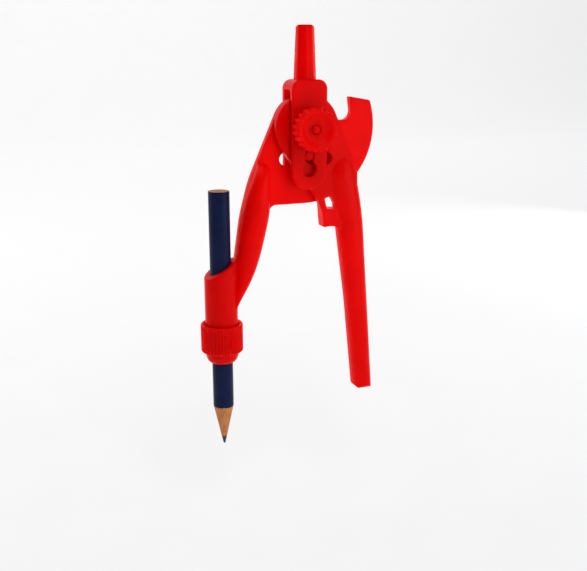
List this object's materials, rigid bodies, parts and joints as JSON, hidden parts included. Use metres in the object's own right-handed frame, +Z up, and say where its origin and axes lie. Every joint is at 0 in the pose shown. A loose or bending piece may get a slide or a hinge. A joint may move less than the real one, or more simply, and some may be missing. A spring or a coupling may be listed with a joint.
{
  "type": "drawing compass",
  "caption": "School drawing compass: fluted handle, scalloped clamping knob, scale sector, plain foot leg and a ribbed collet that holds a short round pencil.",
  "frame": {"origin": "middle of the handle's fluted grip, where the fingers turn the compass", "axes": "+Z up the handle, -Y towards the clamping knob, +X towards the foot leg, with the pencil leg at -X"},
  "size_m": [0.0634, 0.0184, 0.1405],
  "materials": {
    "red_plastic": "moulded gloss",
    "cedar": "bare sharpened wood",
    "graphite": "graphite",
    "navy_lacquer": "gloss paint"
  },
  "bodies": {
    "head": {"handle_yoke": "red_plastic", "pivot_bolt": "red_plastic"},
    "pencil_arm": {"pencil_leg": "red_plastic"},
    "foot_arm": {"foot_leg": "red_plastic"},
    "pin": {"centring_pin": "red_plastic"},
    "knob": {"clamp_knob": "red_plastic"},
    "ring": {"clamp_ring": "red_plastic"},
    "pencil": {"pencil_slat_front": "cedar", "pencil_slat_rear": "cedar", "pencil_lead": "graphite", "pencil_lacquer": "navy_lacquer"}
  },
  "joints": [
    {"name": "pencil_leg_open", "type": "hinge", "parent": "head", "child": "pencil_arm", "pos_m": [0, 0, -0.024], "axis": [0, 1, 0], "range_deg": [-11, 35]},
    {"name": "foot_leg_open", "type": "hinge", "parent": "head", "child": "foot_arm", "pos_m": [0, 0, -0.024], "axis": [0, -1, 0], "range_deg": [-11, 35]},
    {"name": "pin_rise", "type": "slide", "parent": "head", "child": "pin", "axis": [0, 0, 1], "range_m": [-0.0012, 0.0036]},
    {"name": "knob_turn", "type": "hinge", "parent": "head", "child": "knob", "pos_m": [0, 0, -0.024], "axis": [0, -1, 0], "range_deg": [0, 180]},
    {"name": "ring_turn", "type": "hinge", "parent": "pencil_arm", "child": "ring", "pos_m": [-0.03, 0, -0.093], "axis": [0, 0, 1], "range_deg": [0, 180]},
    {"name": "pencil_slide", "type": "slide", "parent": "pencil_arm", "child": "pencil", "axis": [0, 0, 1], "range_m": [-0.02, 0.012]}
  ],
  "couplings": [
    {"joint": "foot_leg_open", "follows": "pencil_leg_open", "ratio": 1},
    {"joint": "pin_rise", "follows": "pencil_leg_open", "m_per_rad": 0.0057296}
  ]
}
